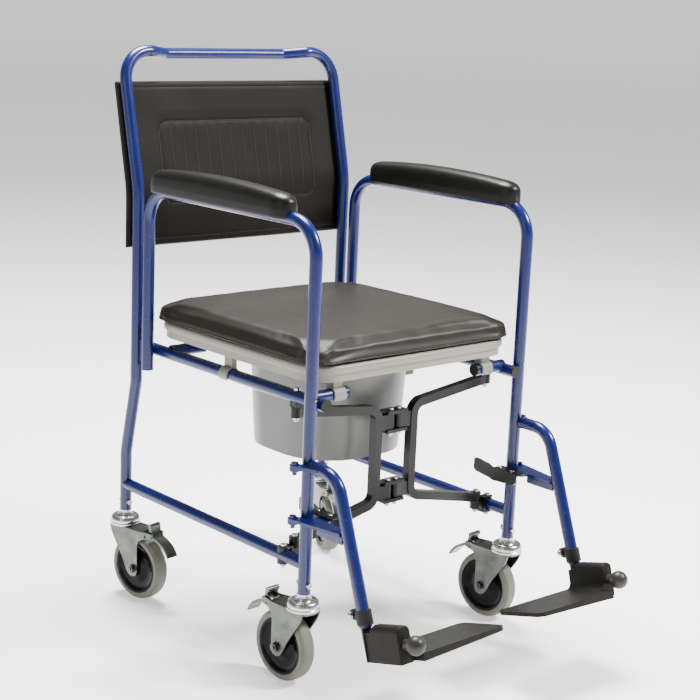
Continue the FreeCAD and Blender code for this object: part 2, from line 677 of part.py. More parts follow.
def hanger(side):
    x = side * HANGER_X
    points = [
        V(x, -13.5, HANGER_TOP_Z),
        V(x, hanger_line_y(HANGER_TOP_Z), HANGER_TOP_Z),
        V(x, hanger_line_y(HANGER_END_Z), HANGER_END_Z),
    ]
    path = bent_path(points, [45])
    top_corners = [(PIN_X + 9, PIN_Y), (264, -40), (241, -40), (241, -13), (262, 0), (262, PIN_Y)]
    low_corners = [
        (PIN_X + 9, PIN_Y), (263, -100), (241, -100), (241, -46), (228, -42),
        (LATCH_X, LATCH_Y - 6.1), (LATCH_X, LATCH_Y + 6.1), (230, -15), (247.5, -15), (262, 0), (262, PIN_Y),
    ]
    body = sweep_round(path, TUBE_R)
    body = body.fuse([
        hanger_strut(side),
        hanger_plate(side, PLATE_TOP_Z, top_corners),
        hanger_plate(side, PLATE_LOW_Z, low_corners),
        cylinder((side * LATCH_X, LATCH_Y, PLATE_LOW_Z), Z_DIR, 6.2, 5),
    ])
    body = body.cut(sweep_round(path, BORE_R))
    for z in (PLATE_TOP_Z, PLATE_LOW_Z):
        body = body.fuse(cylinder((side * PIN_X, PIN_Y, z - 12), Z_DIR, 4.0, 22))
        body = body.fuse(cylinder((side * PIN_X, PIN_Y, z + 5), Z_DIR, 6.5, 4))
    body = body.cut(cylinder((side * LATCH_X, LATCH_Y, PLATE_LOW_Z - 10), Z_DIR, 3.05, 30))
    return body.removeSplitter()


def latch_lever(side):
    """Flat plate on the lower hanger plate, with a deep inner wall that ends in a finger tab."""
    z = PLATE_LOW_Z + 5.3
    lever = box(side * 211, side * 234, -44, 13, z, z + 3)
    corners = [e for e in lever.Edges
               if abs(e.tangentAt(e.FirstParameter).z) > 0.99 and abs(e.CenterOfMass.x) > 225]
    lever = lever.makeFillet(7, corners)
    wall = [(-44, z + 3), (-44, z - 14), (-38, z - 19), (12, z - 22), (24, z - 19), (56, z - 15),
            (62, z - 11), (62, z + 9), (56, z + 11), (24, z + 7), (15, z + 3)]
    lever = lever.fuse(prism([V(side * 210, y, level) for y, level in wall], V(side * 3, 0, 0)))
    lever = lever.fuse(cylinder((side * LATCH_X, LATCH_Y, PLATE_LOW_Z - 1.5), Z_DIR, 3.0, 8))
    lever = lever.fuse(cylinder((side * LATCH_X, LATCH_Y, PLATE_LOW_Z - 2.5), Z_DIR, 5.0, 2))
    return lever.removeSplitter()


def hub_frame(side):
    """Placement from footplate axes (+Y rearward along the hinge) to the chair."""
    return FreeCAD.Placement(V(side * HUB_X, HUB_Y, HUB_Z), FreeCAD.Rotation(X_DIR, -math.degrees(HUB_TILT)))


def tube_line_point(side, z):
    return V(side * HANGER_X, hanger_line_y(z), z)


def clamp_collar(side):
    low = tube_line_point(side, HANGER_END_Z + 3)
    along = (tube_line_point(side, 300) - low).normalize()
    x = side * HANGER_X
    y = hanger_line_y(COLLAR_BOLT_Z)
    collar = Part.makeCylinder(13.6, 24, low, along)
    lug = box(x - 7, x + 7, y + 8, y + 28, COLLAR_BOLT_Z - 8, COLLAR_BOLT_Z + 8)
    rounded = [e for e in lug.Edges if e.BoundBox.XLength > 13.9 and e.BoundBox.YMin > y + 27]
    collar = collar.fuse(lug.makeFillet(6, rounded))
    collar = collar.cut(box(x - 1, x + 1, y + 5, y + 40, COLLAR_BOLT_Z - 20, COLLAR_BOLT_Z + 25))
    collar = collar.cut(cylinder((x - 20, y + COLLAR_REACH, COLLAR_BOLT_Z), X_DIR, 3.05, 40))
    bore = Part.makeCylinder(TUBE_R + 0.02, 80, low - along * 20, along)
    return collar.cut(bore).removeSplitter()


def collar_bolt(side):
    """Cross bolt of the collar, with a domed nut on its -X end."""
    x = side * HANGER_X
    y = hanger_line_y(COLLAR_BOLT_Z) + COLLAR_REACH
    bolt = cylinder((x - 12, y, COLLAR_BOLT_Z), X_DIR, 2.95, 20)
    bolt = bolt.fuse(cylinder((x + 7, y, COLLAR_BOLT_Z), X_DIR, 5.0, 3))
    bolt = bolt.fuse(cylinder((x - 7, y, COLLAR_BOLT_Z), V(-1, 0, 0), 5.6, 5))
    dome = Part.makeSphere(5.2, V(x - 12, y, COLLAR_BOLT_Z), V(-1, 0, 0), 0, 90, 360)
    return bolt.fuse(dome).removeSplitter()


def footrest_extension(side):
    """Inner tube, halved where it runs down behind the footplate hub, and the hinge rod."""
    low = tube_line_point(side, 110)
    along = (tube_line_point(side, 300) - low).normalize()
    tube = Part.makeCylinder(PLUG_R, 178, low, along)
    front = box(-30, 30, -30, 39, -70, 25)
    front.Placement = hub_frame(side)
    rod = cylinder((0, 44, 0), V(0, -1, 0), 6.0, 113)
    rod.Placement = hub_frame(side)
    return tube.cut(front).fuse(rod).removeSplitter()


def ball_end(side):
    ball = Part.makeSphere(16, V(0, -64, 0))
    ball = ball.fuse(cylinder((0, -40.5, 0), V(0, -1, 0), 9, 14))
    ball = ball.cut(cylinder((0, -30, 0), V(0, -1, 0), 6.01, 39))
    ball.Placement = hub_frame(side)
    return ball


def hub_block():
    """Block round the hinge rod with its top rolled over; the rear top corner clears the tube."""
    hub = box(-14, 14, -40, 38.5, -30, 30)
    tops = [e for e in hub.Edges if e.BoundBox.ZMin > 29.9 and e.BoundBox.YLength > 70]
    hub = hub.makeFillet(11, tops)
    front = [e for e in hub.Edges if e.BoundBox.YMax < -39.9 and e.BoundBox.ZMax > 0]
    hub = hub.makeFillet(3, front)
    notch = prism([V(-20, y, z) for y, z in ((20, 31), (27, 18), (40, 18), (40, 31))], V(40, 0, 0))
    return hub.cut(notch)


def hub_flare(inward):
    """Hollow curve between the hub's inner side and the tread."""
    start = V(inward * 14, -40, -2)
    middle = V(inward * 17.5, -40, -11.5)
    end = V(inward * 27, -40, -15)
    edges = [
        Part.Arc(start, middle, end).toShape(),
        Part.makeLine(end, V(inward * 27, -40, -20)),
        Part.makeLine(V(inward * 27, -40, -20), V(inward * 10, -40, -20)),
        Part.makeLine(V(inward * 10, -40, -20), V(inward * 10, -40, -2)),
        Part.makeLine(V(inward * 10, -40, -2), start),
    ]
    return Part.Face(Part.Wire(edges)).extrude(V(0, 78.5, 0))


def footplate(side):
    inward = -side
    section = [(10, -15.5), (10, -29), (203, -21), (203, -14)]
    tread = prism([V(inward * x, -62, z) for x, z in section], V(0, 104, 0))
    tread = tread.cut(box(inward * 5, inward * 16, -70, -40, -40, 0))
    trim = box(inward * 8, inward * 203, -62, 42, -40, 0)
    far = [e for e in trim.Edges
           if abs(e.tangentAt(e.FirstParameter).z) > 0.99 and abs(e.CenterOfMass.x) > 100]
    tread = tread.common(trim.makeFillet(14, far))
    body = hub_block().fuse([hub_flare(inward), tread])
    body = body.cut(cylinder((0, 60, 0), V(0, -1, 0), 6.05, 130)).removeSplitter()
    body.Placement = hub_frame(side)
    return body


# ---------------------------------------------------------------- all parts

def side_parts(parts, side, word):
    parts["leg_front_" + word] = front_leg(side)
    parts["leg_rear_" + word] = rear_leg(side)
    parts["arm_socket_" + word] = arm_socket(side)
    parts["rail_upper_" + word] = upper_rail(side)
    parts["rail_lower_" + word] = lower_rail(side)
    parts["fold_panel_" + word] = fold_panel(side)
    parts["arm_hoop_" + word] = arm_hoop(side)
    parts["arm_pad_" + word] = arm_pad(side)
    parts["hanger_" + word] = hanger(side)
    parts["latch_lever_" + word] = latch_lever(side)
    parts["clamp_collar_" + word] = clamp_collar(side)
    parts["collar_bolt_" + word] = collar_bolt(side)
    parts["footrest_extension_" + word] = footrest_extension(side)
    parts["footplate_" + word] = footplate(side)
    parts["ball_end_" + word] = ball_end(side)


def all_parts():
    parts = {}
    side_parts(parts, -1, "left")
    side_parts(parts, 1, "right")
    parts["tube_end_plugs"] = tube_end_plugs()
    parts["snap_buttons"] = snap_buttons()
    parts["middle_links"] = middle_links()
    parts["upper_clamps"] = upper_clamps()
    parts["lower_clamps"] = lower_clamps()
    parts["frame_bolts"] = frame_bolts()
    parts["castor_heads"] = castor_heads()
    parts["footrest_lugs"] = footrest_lugs()
    for name in CASTORS:
        parts["castor_fork_" + name] = castor_fork(name)
        parts["castor_hub_" + name] = castor_hub(name)
        parts["castor_tyre_" + name] = castor_tyre(name)
        parts["brake_pedal_" + name] = brake_pedal(name)
    parts["backrest_hoop"] = backrest_hoop()
    parts["backrest_panel"] = backrest_panel()
    parts["seat_ring"] = seat_ring()
    parts["seat_clips"] = seat_clips()
    parts["seat_cushion"] = seat_cushion()
    parts["commode_pan"] = pan()
    return parts


os.makedirs("parts", exist_ok=True)
for node, shape in all_parts().items():
    shape.translate(V(-ORIGIN_X, -ORIGIN_Y, 0))
    shape.exportStep("parts/" + node + ".step")
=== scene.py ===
import bpy
import bmesh
import json
import math
from mathutils import Matrix, Vector
from mathutils.bvhtree import BVHTree


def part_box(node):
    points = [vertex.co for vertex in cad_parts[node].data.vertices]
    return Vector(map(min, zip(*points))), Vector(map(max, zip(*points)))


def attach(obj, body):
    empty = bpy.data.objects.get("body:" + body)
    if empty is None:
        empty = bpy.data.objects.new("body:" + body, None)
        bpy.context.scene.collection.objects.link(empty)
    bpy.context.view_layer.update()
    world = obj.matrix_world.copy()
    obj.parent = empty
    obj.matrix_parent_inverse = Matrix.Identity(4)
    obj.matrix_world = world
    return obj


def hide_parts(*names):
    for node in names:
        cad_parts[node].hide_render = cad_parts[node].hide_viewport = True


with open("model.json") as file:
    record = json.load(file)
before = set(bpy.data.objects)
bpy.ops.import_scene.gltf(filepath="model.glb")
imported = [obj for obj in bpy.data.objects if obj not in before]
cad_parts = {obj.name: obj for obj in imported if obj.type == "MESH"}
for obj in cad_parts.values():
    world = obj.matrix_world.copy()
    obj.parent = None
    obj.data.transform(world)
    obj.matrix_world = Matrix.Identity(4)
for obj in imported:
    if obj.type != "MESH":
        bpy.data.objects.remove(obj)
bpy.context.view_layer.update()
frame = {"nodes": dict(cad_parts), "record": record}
NODES = frame["nodes"]

# Places of the frame and of the soft parts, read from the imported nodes.
LEG_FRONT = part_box("leg_front_left")
FRONT_Y = (LEG_FRONT[0][1] + LEG_FRONT[1][1]) / 2.0
CUSHION_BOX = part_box("seat_cushion")
PANEL_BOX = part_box("backrest_panel")


# ---------------------------------------------------------------- materials

def new_material(name):
    material = bpy.data.materials.new(name)
    material.use_nodes = True
    nodes = material.node_tree.nodes
    return material, nodes, material.node_tree.links, nodes["Principled BSDF"]


def texture_space(nodes):
    return nodes.new("ShaderNodeTexCoord").outputs["Object"]


def noise(nodes, links, vector, scale, detail=4.0, rough=0.55):
    node = nodes.new("ShaderNodeTexNoise")
    node.inputs["Scale"].default_value = scale
    node.inputs["Detail"].default_value = detail
    node.inputs["Roughness"].default_value = rough
    links.new(vector, node.inputs["Vector"])
    return node.outputs["Fac"]


def ramp(nodes, links, factor, stops):
    node = nodes.new("ShaderNodeValToRGB")
    elements = node.color_ramp.elements
    while len(elements) < len(stops):
        elements.new(0.5)
    for element, (position, color) in zip(elements, stops):
        element.position = position
        element.color = (*color, 1.0)
    links.new(factor, node.inputs["Fac"])
    return node.outputs["Color"]


def spread(nodes, links, factor, low, high):
    node = nodes.new("ShaderNodeMapRange")
    node.inputs["To Min"].default_value = low
    node.inputs["To Max"].default_value = high
    links.new(factor, node.inputs["Value"])
    return node.outputs["Result"]


def bump(nodes, links, height, strength, distance, before=None):
    node = nodes.new("ShaderNodeBump")
    node.inputs["Strength"].default_value = strength
    node.inputs["Distance"].default_value = distance
    links.new(height, node.inputs["Height"])
    if before is not None:
        links.new(before, node.inputs["Normal"])
    return node.outputs["Normal"]


def surface(name, dark, light, rough, metallic=0.0, blotch=18.0, grain=900.0, grain_depth=0.00006,
            grain_strength=0.25, coat=0.0, specular=0.5):
    """A shader with slow colour drift, uneven gloss and a fine surface grain."""
    material, nodes, links, shader = new_material(name)
    vector = texture_space(nodes)
    drift = noise(nodes, links, vector, blotch, 5.0, 0.6)
    color = ramp(nodes, links, drift, [(0.3, dark), (0.7, light)])
    links.new(color, shader.inputs["Base Color"])
    scuff = noise(nodes, links, vector, blotch * 6.0, 6.0, 0.7)
    links.new(spread(nodes, links, scuff, rough[0], rough[1]), shader.inputs["Roughness"])
    fine = noise(nodes, links, vector, grain, 3.0, 0.5)
    links.new(bump(nodes, links, fine, grain_strength, grain_depth), shader.inputs["Normal"])
    shader.inputs["Metallic"].default_value = metallic
    shader.inputs["Coat Weight"].default_value = coat
    shader.inputs["Coat Roughness"].default_value = 0.06
    shader.inputs["Specular IOR Level"].default_value = specular
    return material


def vinyl(name, dark, light, rough, grain=520.0, depth=0.00022, specular=0.3):
    """Embossed vinyl: pebbled cells over a soft, slightly uneven surface."""
    material, nodes, links, shader = new_material(name)
    vector = texture_space(nodes)
    drift = noise(nodes, links, vector, 9.0, 5.0, 0.6)
    links.new(ramp(nodes, links, drift, [(0.3, dark), (0.7, light)]), shader.inputs["Base Color"])
    gloss = noise(nodes, links, vector, 40.0, 5.0, 0.65)
    links.new(spread(nodes, links, gloss, rough[0], rough[1]), shader.inputs["Roughness"])
    cells = nodes.new("ShaderNodeTexVoronoi")
    cells.feature = "DISTANCE_TO_EDGE"
    cells.inputs["Scale"].default_value = grain
    links.new(vector, cells.inputs["Vector"])
    pebble = bump(nodes, links, cells.outputs["Distance"], 0.35, depth)
    soft = noise(nodes, links, vector, 26.0, 3.0, 0.5)
    links.new(bump(nodes, links, soft, 0.25, 0.0012, pebble), shader.inputs["Normal"])
    shader.inputs["Specular IOR Level"].default_value = specular
    return material


BLUE = surface("blue_paint", (0.0036, 0.0076, 0.074), (0.0050, 0.0102, 0.094), (0.20, 0.32),
               blotch=11.0, grain=260.0, grain_depth=0.00004, grain_strength=0.06, coat=0.12,
               specular=0.4)
VINYL = vinyl("black_vinyl", (0.0076, 0.0062, 0.0036), (0.0112, 0.0093, 0.0057), (0.38, 0.50),
              specular=0.30)
BACK_VINYL = vinyl("back_vinyl", (0.0046, 0.0038, 0.0023), (0.0072, 0.0060, 0.0038), (0.52, 0.66),
                   specular=0.13)
PAD = surface("arm_pad_foam", (0.0048, 0.0046, 0.0038), (0.0072, 0.0069, 0.0058), (0.30, 0.40),
              blotch=16.0, grain=1400.0, grain_depth=0.00010, grain_strength=0.25, specular=0.22)
SEAT = surface("seat_grey", (0.205, 0.200, 0.155), (0.240, 0.232, 0.182), (0.32, 0.44), blotch=6.0,
               grain=700.0, grain_depth=0.00008, grain_strength=0.2)
CLIP = surface("clip_grey", (0.19, 0.185, 0.150), (0.23, 0.22, 0.180), (0.45, 0.6), blotch=30.0)
PAN = surface("pan_grey", (0.120, 0.120, 0.114), (0.145, 0.144, 0.137), (0.28, 0.40), blotch=5.0,
              grain=500.0, grain_depth=0.00008)
DARK = surface("dark_plastic", (0.008, 0.008, 0.0075), (0.014, 0.0137, 0.0125), (0.42, 0.58),
               blotch=30.0, grain=1600.0, grain_depth=0.00012, grain_strength=0.4, specular=0.22)
BLACK = surface("black_paint", (0.0035, 0.0035, 0.0035), (0.0065, 0.006, 0.0056), (0.24, 0.40),
                blotch=20.0, grain=500.0, grain_depth=0.00010, grain_strength=0.25, specular=0.25)
PLATE = vinyl("footplate_plastic", (0.0046, 0.0040, 0.0028), (0.0080, 0.0071, 0.0053), (0.48, 0.62),
              grain=330.0, depth=0.00045, specular=0.15)
BALL = surface("ball_rubber", (0.016, 0.0155, 0.0130), (0.023, 0.022, 0.0190), (0.34, 0.46),
               blotch=26.0, specular=0.3)
ZINC = surface("zinc_plate", (0.070, 0.076, 0.068), (0.150, 0.158, 0.142), (0.22, 0.40), metallic=1.0,
               blotch=34.0, grain=900.0, grain_depth=0.00007, grain_strength=0.3)
CHROME = surface("chrome_dome", (0.50, 0.51, 0.49), (0.64, 0.65, 0.63), (0.20, 0.32), metallic=1.0,
                 blotch=22.0, grain=600.0, grain_depth=0.00005, grain_strength=0.15)
STEEL = surface("bolt_steel", (0.36, 0.36, 0.35), (0.48, 0.48, 0.47), (0.18, 0.34), metallic=1.0,
                blotch=60.0)
HUB = surface("hub_black", (0.0022, 0.0022, 0.0026), (0.0036, 0.0036, 0.0040), (0.16, 0.26),
              blotch=14.0,
              grain=120.0, grain_depth=0.00004, grain_strength=0.08, specular=0.1)
TYRE = surface("tyre_grey", (0.105, 0.104, 0.080), (0.140, 0.138, 0.108), (0.55, 0.72), blotch=24.0,
               grain=900.0, grain_depth=0.00018, grain_strength=0.5)
THREAD = surface("thread", (0.045, 0.042, 0.034), (0.075, 0.070, 0.058), (0.6, 0.8), blotch=200.0)

BY_SLOT = {
    "frame_paint": BLUE, "black_paint": BLACK, "black_vinyl": VINYL, "arm_pad_black": PAD,
    "seat_plastic": SEAT, "clip_plastic": CLIP, "pan_plastic": PAN, "dark_plastic": DARK,
    "footplate_plastic": PLATE, "ball_rubber": BALL, "castor_zinc": ZINC, "castor_chrome": CHROME,
    "hub_black": HUB, "tyre_grey": TYRE, "bright_steel": STEEL,
}


def smooth_group(angle):
    """Geometry nodes that shade a mesh smooth and keep the edges sharper than angle."""
    group = bpy.data.node_groups.new("smooth_by_angle", "GeometryNodeTree")
    group.interface.new_socket("Geometry", in_out="INPUT", socket_type="NodeSocketGeometry")
    group.interface.new_socket("Geometry", in_out="OUTPUT", socket_type="NodeSocketGeometry")
    start = group.nodes.new("NodeGroupInput")
    finish = group.nodes.new("NodeGroupOutput")
    fold = group.nodes.new("GeometryNodeInputMeshEdgeAngle")
    compare = group.nodes.new("FunctionNodeCompare")
    compare.data_type = "FLOAT"
    compare.operation = "LESS_THAN"
    compare.inputs["B"].default_value = angle
    faces = group.nodes.new("GeometryNodeSetShadeSmooth")
    faces.domain = "FACE"
    edges = group.nodes.new("GeometryNodeSetShadeSmooth")
    edges.domain = "EDGE"
    group.links.new(fold.outputs["Unsigned Angle"], compare.inputs["A"])
    group.links.new(start.outputs["Geometry"], faces.inputs["Geometry"])
    group.links.new(faces.outputs["Geometry"], edges.inputs["Geometry"])
    group.links.new(compare.outputs["Result"], edges.inputs["Shade Smooth"])
    group.links.new(edges.outputs["Geometry"], finish.inputs["Geometry"])
    return group


SMOOTH = smooth_group(math.radians(32))
WELD_GAP = 0.00001
EDGE_WIDTH = 0.0006
EDGE_ANGLE = math.radians(40)
# Slots whose nodes get no bevel.
ROUND_SLOTS = ("bright_steel", "castor_chrome", "hub_black", "tyre_grey", "frame_paint", "ball_rubber")
for entry in frame["record"]["subparts"]:
    node = NODES[entry["node"]]
    for index in range(len(node.material_slots)):
        node.material_slots[index].material = BY_SLOT[entry["material_slot"]]
    weld = node.modifiers.new("weld", "WELD")
    weld.merge_threshold = WELD_GAP
    shade = node.modifiers.new("shade", "NODES")
    shade.node_group = SMOOTH
    if entry["material_slot"] not in ROUND_SLOTS:
        edge = node.modifiers.new("edge", "BEVEL")
        edge.width = EDGE_WIDTH
        edge.segments = 2
        edge.limit_method = "ANGLE"
        edge.angle_limit = EDGE_ANGLE
        edge.harden_normals = True


# ---------------------------------------------------------------- mesh helpers

def mesh_object(name, vertices, faces, material):
    mesh = bpy.data.meshes.new(name)
    mesh.from_pydata([tuple(v) for v in vertices], [], faces)
    mesh.validate()
    mesh.update()
    tidy = bmesh.new()
    tidy.from_mesh(mesh)
    bmesh.ops.recalc_face_normals(tidy, faces=tidy.faces)
    tidy.to_mesh(mesh)
    tidy.free()
    piece = bpy.data.objects.new(name, mesh)
    bpy.context.scene.collection.objects.link(piece)
    piece.data.materials.append(material)
    for polygon in piece.data.polygons:
        polygon.use_smooth = True
    return piece


def rope_mesh(path, radius, closed=False, sides=6):
    """Vertices and faces of a thin tube through the points of path."""
    vertices = []
    faces = []
    count = len(path)
    for index, point in enumerate(path):
        if closed:
            tangent = path[(index + 1) % count] - path[index - 1]
        else:
            tangent = path[min(index + 1, count - 1)] - path[max(index - 1, 0)]
        tangent.normalize()
        side = tangent.cross(Vector((0.31, 0.17, 0.93))).normalized()
        other = tangent.cross(side).normalized()
        for step in range(sides):
            turn = 2.0 * math.pi * step / sides
            vertices.append(point + (side * math.cos(turn) + other * math.sin(turn)) * radius)
    rings = count if closed else count - 1
    for index in range(rings):
        following = (index + 1) % count
        for step in range(sides):
            right = (step + 1) % sides
            faces.append((index * sides + step, index * sides + right,
                          following * sides + right, following * sides + step))
    if not closed:
        faces.append(tuple(range(sides)))
        faces.append(tuple((count - 1) * sides + step for step in range(sides)))
    return vertices, faces


def rope(name, path, radius, material, closed=False):
    vertices, faces = rope_mesh(path, radius, closed)
    return mesh_object(name, vertices, faces, material)


def stitches(name, path, length, gap, radius, material):
    """Separate short threads along the points of path."""
    pieces = []
    run = 0.0
    current = []
    for index in range(1, len(path)):
        run += (path[index] - path[index - 1]).length
        if run % (length + gap) < length:
            current.append(path[index])
            continue
        if len(current) > 1:
            pieces.append(current)
        current = []
    if len(current) > 1:
        pieces.append(current)
    vertices = []
    faces = []
    for stitch in pieces:
        points, sides = rope_mesh(stitch, radius, sides=5)
        base = len(vertices)
        vertices += points
        faces += [tuple(base + i for i in face) for face in sides]
    return mesh_object(name, vertices, faces, material)


def rounded_loop(x0, x1, y0, y1, radius, z, spacing):
    """Closely spaced points round a rounded rectangle at height z."""
    points = []
    corners = ((x1 - radius, y1 - radius, 0), (x0 + radius, y1 - radius, 90),
               (x0 + radius, y0 + radius, 180), (x1 - radius, y0 + radius, 270))
    for cx, cy, start in corners:
        for step in range(17):
            turn = math.radians(start + 90.0 * step / 16)
            points.append(Vector((cx + radius * math.cos(turn), cy + radius * math.sin(turn), z)))
    dense = []
    for index, point in enumerate(points):
        following = points[(index + 1) % len(points)]
        count = max(1, int((following - point).length / spacing))
        for step in range(count):
            dense.append(point.lerp(following, step / count))
    return dense


def surface_tree(piece):
    depsgraph = bpy.context.evaluated_depsgraph_get()
    depsgraph.update()
    return BVHTree.FromObject(piece, depsgraph)


def inflate(piece, voxel, pressure, frames, cap, pinned_below):
    """Remeshes the piece, lets cloth pressure fill it, and keeps the result in the mesh."""
    bpy.context.view_layer.objects.active = piece
    remesh = piece.modifiers.new("remesh", "REMESH")
    remesh.mode = "VOXEL"
    remesh.voxel_size = voxel
    bpy.ops.object.modifier_apply(modifier=remesh.name)
    before = [v.co.copy() for v in piece.data.vertices]
    cloth = piece.modifiers.new("cloth", "CLOTH")
    settings = cloth.settings
    settings.quality = 5
    settings.mass = 0.3
    settings.tension_stiffness = 18
    settings.compression_stiffness = 18
    settings.shear_stiffness = 8
    settings.bending_stiffness = 0.6
    settings.use_pressure = True
    settings.uniform_pressure_force = pressure
    settings.effector_weights.gravity = 0.0
    group = piece.vertex_groups.new(name="pin")
    low = [v.index for v in piece.data.vertices if v.co.z < pinned_below]
    group.add(low, 1.0, "REPLACE")
    settings.vertex_group_mass = "pin"
    cloth.point_cache.frame_start = 1
    cloth.point_cache.frame_end = frames
    scene = bpy.context.scene
    for number in range(1, frames + 1):
        scene.frame_set(number)
    bpy.ops.object.modifier_apply(modifier=cloth.name)
    scene.frame_set(1)
    for vertex, old in zip(piece.data.vertices, before):
        move = vertex.co - old
        if move.length > cap:
            vertex.co = old + move.normalized() * cap
    smooth = piece.modifiers.new("smooth", "SMOOTH")
    smooth.factor = 0.5
    smooth.iterations = 4
    bpy.ops.object.modifier_apply(modifier=smooth.name)
    for polygon in piece.data.polygons:
        polygon.use_smooth = True


# ---------------------------------------------------------------- seat cushion

CUSHION_INSET = 0.004         # the block starts smaller than its CAD box, because pressure swells it
CUSHION_FLATTEN = 0.010
CUSHION_SINK = 0.004
CUSHION_CORNER = 0.042
CUSHION_EDGE = 0.006
CREASE_U = 0.40               # middle of the crease near the front edge, -1 left to 1 right
CREASE_REACH = 0.36
SEAM_CORNER = 0.045


def cushion_block():
    """Rounded block, a little smaller than the CAD box of the cushion."""
    (x0, y0, z0), (x1, y1, z1) = CUSHION_BOX
    body = bmesh.new()
    bmesh.ops.create_cube(body, size=1.0)
    for vertex in body.verts:
        vertex.co.x = (x0 + x1) / 2 + vertex.co.x * (x1 - x0 - 2 * CUSHION_INSET)
        vertex.co.y = (y0 + y1) / 2 + vertex.co.y * (y1 - y0 - 2 * CUSHION_INSET)
        vertex.co.z = (z0 + z1) / 2 + vertex.co.z * (z1 - z0 - CUSHION_FLATTEN) - CUSHION_SINK
    uprights = [e for e in body.edges if abs(e.verts[0].co.z - e.verts[1].co.z) > 0.01]
    bmesh.ops.bevel(body, geom=uprights, offset=CUSHION_CORNER, segments=8, profile=0.5, affect="EDGES")
    rims = [e for e in body.edges if len(e.link_faces) == 2
            and abs(abs(e.link_faces[0].normal.z) - abs(e.link_faces[1].normal.z)) > 0.5]
    bmesh.ops.bevel(body, geom=rims, offset=CUSHION_EDGE, segments=3, profile=0.5, affect="EDGES")
    mesh = bpy.data.meshes.new("seat_cushion_cover")
    body.to_mesh(mesh)
    body.free()
    piece = bpy.data.objects.new("seat_cushion_cover", mesh)
    bpy.context.scene.collection.objects.link(piece)
    mesh.materials.append(VINYL)
    return piece


def shape_cushion(piece):
    """Adds the crown, the crease behind the front edge and faint ripples near the rim."""
    (x0, y0, z0), (x1, y1, z1) = CUSHION_BOX
    middle_x = (x0 + x1) / 2
    middle_y = (y0 + y1) / 2
    for vertex in piece.data.vertices:
        u = (vertex.co.x - middle_x) / ((x1 - x0) / 2)
        v = (vertex.co.y - middle_y) / ((y1 - y0) / 2)
        crown = max(0.0, 1 - abs(u) ** 2.6) * max(0.0, 1 - abs(v) ** 2.6)
        height = max(0.0, min(1.0, (vertex.co.z - z0) / (z1 - z0)))
        vertex.co.z += height * (0.006 * crown - 0.0035 * (1 - crown))
        bow = 0.024 - 0.013 * ((u - CREASE_U) / 0.30) ** 2
        crease = math.exp(-((vertex.co.y - (y0 + bow)) / 0.0055) ** 2)
        swell = math.exp(-((vertex.co.y - (y0 + bow + 0.014)) / 0.009) ** 2)
        reach = max(0.0, 1 - ((u - CREASE_U) / CREASE_REACH) ** 2)
        vertex.co.z += (0.0014 * swell - 0.0030 * crease) * reach * (height > 0.8)
        ripple = math.sin(vertex.co.x * 95 + vertex.co.y * 34) * math.sin(vertex.co.y * 61 + 0.7)
        edge_zone = max(abs(u), abs(v)) ** 6
        vertex.co.z += 0.0007 * ripple * height * edge_zone


def seat_cushion():
    piece = cushion_block()
    base_z = CUSHION_BOX[0][2]
    inflate(piece, voxel=0.005, pressure=4.0, frames=18, cap=0.008, pinned_below=base_z + 0.006)
    shape_cushion(piece)
    finer = piece.modifiers.new("finer", "SUBSURF")
    finer.levels = 1
    finer.render_levels = 1
    return piece


cushion = seat_cushion()
(cx0, cy0, cz0), (cx1, cy1, _) = CUSHION_BOX
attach(cushion, "cushion")
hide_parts("seat_cushion")
cushion_tree = surface_tree(cushion)


def on_cushion(inset, height, lift):
    """Points of a loop round the cushion, laid on its surface."""
    loop = rounded_loop(cx0 + inset, cx1 - inset, cy0 + inset, cy1 - inset, SEAM_CORNER, height,
                        spacing=0.0011)
    points = []
    for point in loop:
        hit = cushion_tree.find_nearest(point)
        points.append(hit[0] + hit[1] * lift)
    return points


seam = rope("cushion_seam", on_cushion(0.002, cz0 + 0.004, 0.0004), 0.0014, VINYL, closed=True)
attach(seam, "cushion")
for word, height in (("upper", cz0 + 0.0125), ("lower", cz0 + 0.0085)):
    thread = stitches("cushion_stitch_" + word, on_cushion(0.001, height, 0.0003),
                      length=0.0034, gap=0.0016, radius=0.0004, material=THREAD)
    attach(thread, "cushion")


# ---------------------------------------------------------------- backrest panel

BACK_LEAN = math.radians(13.0)
BACK_BEND_R = 0.200
PANEL_THICK = 0.012
TUBE_R = 0.011
UPRIGHT_X = 0.2475
UPRIGHT_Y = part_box("leg_rear_left")[0][1] + TUBE_R
FREE_HALF = 0.236             # half the width between the uprights, where the sheet sags
BEND_Z = 0.783
PANEL_LOW = PANEL_BOX[0][2]
PANEL_HIGH_U = 0.200


def panel_point(x, s, offset):
    """Point on the panel: s metres up the tube line from the panel's bottom, offset to the rear."""
    tangent = BACK_BEND_R * math.tan(BACK_LEAN / 2)
    straight = BEND_Z - tangent - PANEL_LOW
    arc = BACK_BEND_R * BACK_LEAN
    if s <= straight:
        return Vector((x, UPRIGHT_Y + offset, PANEL_LOW + s)), 0.0
    if s <= straight + arc:
        angle = (s - straight) / BACK_BEND_R
        radius = BACK_BEND_R - offset
        return Vector((x, UPRIGHT_Y + BACK_BEND_R - radius * math.cos(angle),
                       BEND_Z - tangent + radius * math.sin(angle))), angle
    u = s - straight - arc + tangent
    return Vector((x, UPRIGHT_Y + u * math.sin(BACK_LEAN) + offset * math.cos(BACK_LEAN),
                   BEND_Z + u * math.cos(BACK_LEAN) - offset * math.sin(BACK_LEAN))), BACK_LEAN


